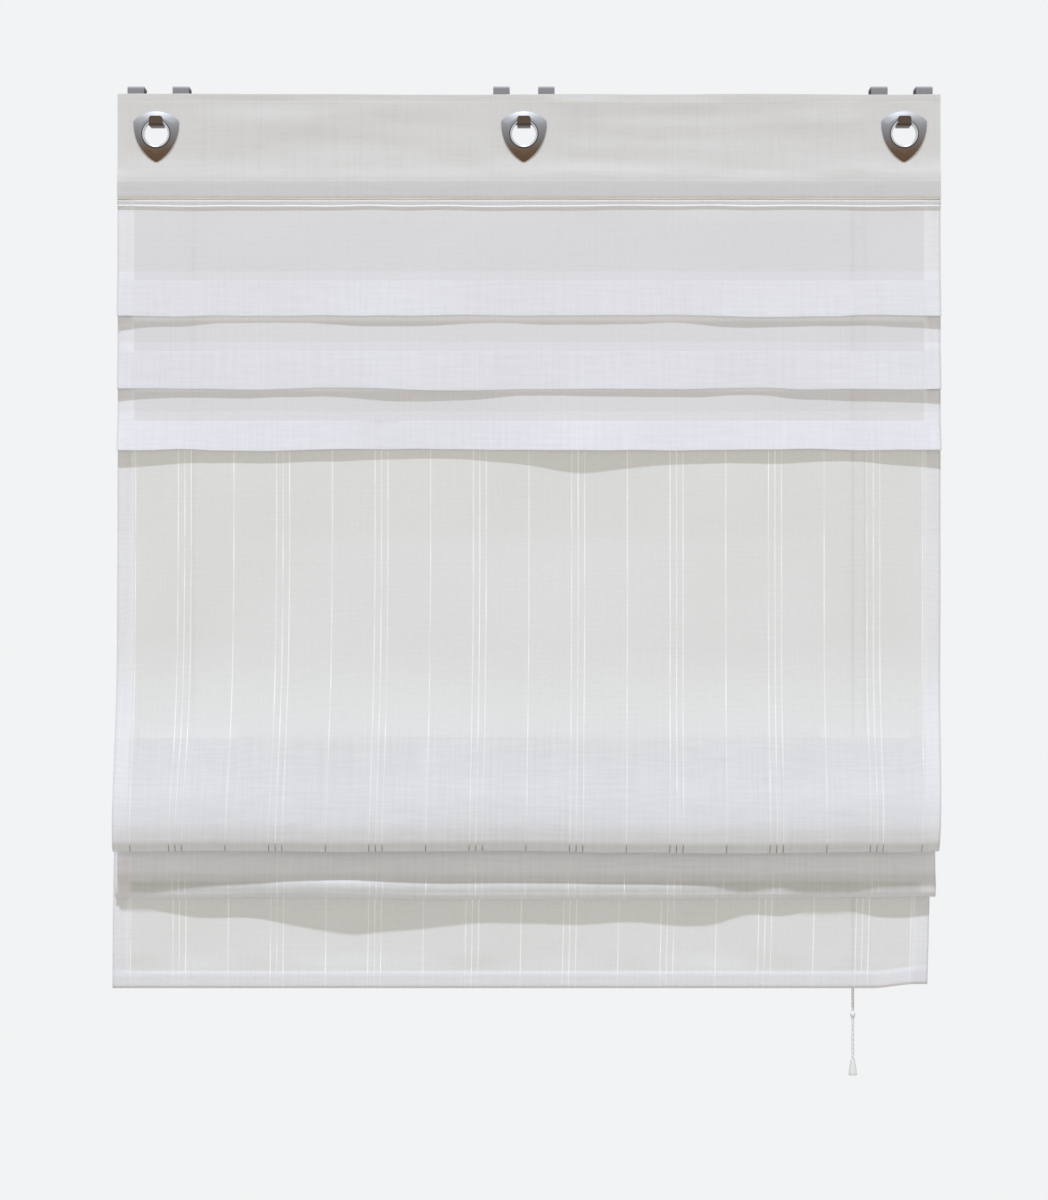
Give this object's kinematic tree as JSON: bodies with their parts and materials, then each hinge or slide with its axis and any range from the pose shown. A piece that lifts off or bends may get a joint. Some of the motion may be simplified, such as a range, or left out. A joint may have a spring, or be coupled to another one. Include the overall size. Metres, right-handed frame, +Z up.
{
  "type": "roman blind",
  "caption": "Sheer roman blind hung on bent steel hooks through shield eyelets, with sewn tucks, drawn-up folds, a bar in the hem and a cord pull with stopper.",
  "frame": {"origin": "top front edge of the board that the hooks sit on, at the blind's middle", "axes": "+X along the blind to the right as seen from the room, +Y back from the room, +Z up"},
  "size_m": [0.8, 0.0695, 0.9649],
  "materials": {
    "header_cloth": "closely woven off-white cotton, matte",
    "plain_voile": "plain sheer voile, off-white",
    "striped_voile": "sheer voile with thicker stripe threads, off-white",
    "bar_plastic": "extruded, white",
    "hook_steel": "stamped steel, grey lacquer",
    "eyelet_metal": "pressed and nickel plated, satin",
    "washer_metal": "stamped",
    "ring_plastic": "moulded, milky white",
    "cord": "braided polyester, white",
    "bell_plastic": "moulded, white",
    "stopper_plastic": "moulded, white",
    "spring_steel": "bright spring wire"
  },
  "bodies": {
    "top": {"header_band": "header_cloth", "tucked_panel": "plain_voile", "striped_panel": "striped_voile", "header_bar": "bar_plastic", "guide_rings": "ring_plastic", "ring_row_4": "ring_plastic", "ring_row_3": "ring_plastic", "lift_cord_left": "cord", "lift_cord_right": "cord", "stopper_barrel": "stopper_plastic", "stopper_spring": "spring_steel", "hook_left": "hook_steel", "eyelet_left": "eyelet_metal", "washer_left": "washer_metal", "hook_middle": "hook_steel", "eyelet_middle": "eyelet_metal", "washer_middle": "washer_metal", "hook_right": "hook_steel", "eyelet_right": "eyelet_metal", "washer_right": "washer_metal"},
    "upper_fold": {"upper_fold_front": "striped_voile"},
    "second_rings": {"upper_fold_back": "striped_voile", "ring_row_2": "ring_plastic", "upper_cord_spans": "cord"},
    "lower_fold": {"lower_fold_front": "striped_voile"},
    "hem": {"lower_fold_back": "striped_voile", "ring_row_1": "ring_plastic", "lower_cord_spans": "cord", "end_knots": "cord", "bottom_panel": "striped_voile", "hem_bar": "bar_plastic"},
    "pull": {"pull_strands": "cord", "join_knot": "cord", "pull_cord": "cord", "bell": "bell_plastic"},
    "stopper_button": {"stopper_plunger": "stopper_plastic"}
  },
  "joints": [
    {"name": "upper_fold_rise", "type": "slide", "parent": "top", "child": "upper_fold", "axis": [0, 0, 1], "range_m": [-0.095, 0.015], "deforming": ["upper_fold_front"]},
    {"name": "second_rings_rise", "type": "slide", "parent": "upper_fold", "child": "second_rings", "axis": [0, 0, 1], "range_m": [-0.095, 0.015], "deforming": ["upper_fold_back", "upper_cord_spans"]},
    {"name": "lower_fold_rise", "type": "slide", "parent": "second_rings", "child": "lower_fold", "axis": [0, 0, 1], "range_m": [-0.095, 0.015], "deforming": ["lower_fold_front"]},
    {"name": "hem_rise", "type": "slide", "parent": "lower_fold", "child": "hem", "axis": [0, 0, 1], "range_m": [-0.095, 0.015], "deforming": ["lower_fold_back", "lower_cord_spans"]},
    {"name": "pull", "type": "slide", "parent": "top", "child": "pull", "axis": [0, 0, -1], "range_m": [-0.38, 0.06], "deforming": ["pull_strands"]},
    {"name": "stopper_press", "type": "slide", "parent": "top", "child": "stopper_button", "axis": [1, 0, 0], "range_m": [0, 0.002], "stiffness_N_per_m": 300, "springref_m": -0.003, "deforming": ["stopper_spring"]}
  ],
  "couplings": [
    {"joint": "second_rings_rise", "follows": "upper_fold_rise", "ratio": 1},
    {"joint": "lower_fold_rise", "follows": "upper_fold_rise", "ratio": 1},
    {"joint": "hem_rise", "follows": "upper_fold_rise", "ratio": 1},
    {"joint": "pull", "follows": "upper_fold_rise", "ratio": 4}
  ]
}
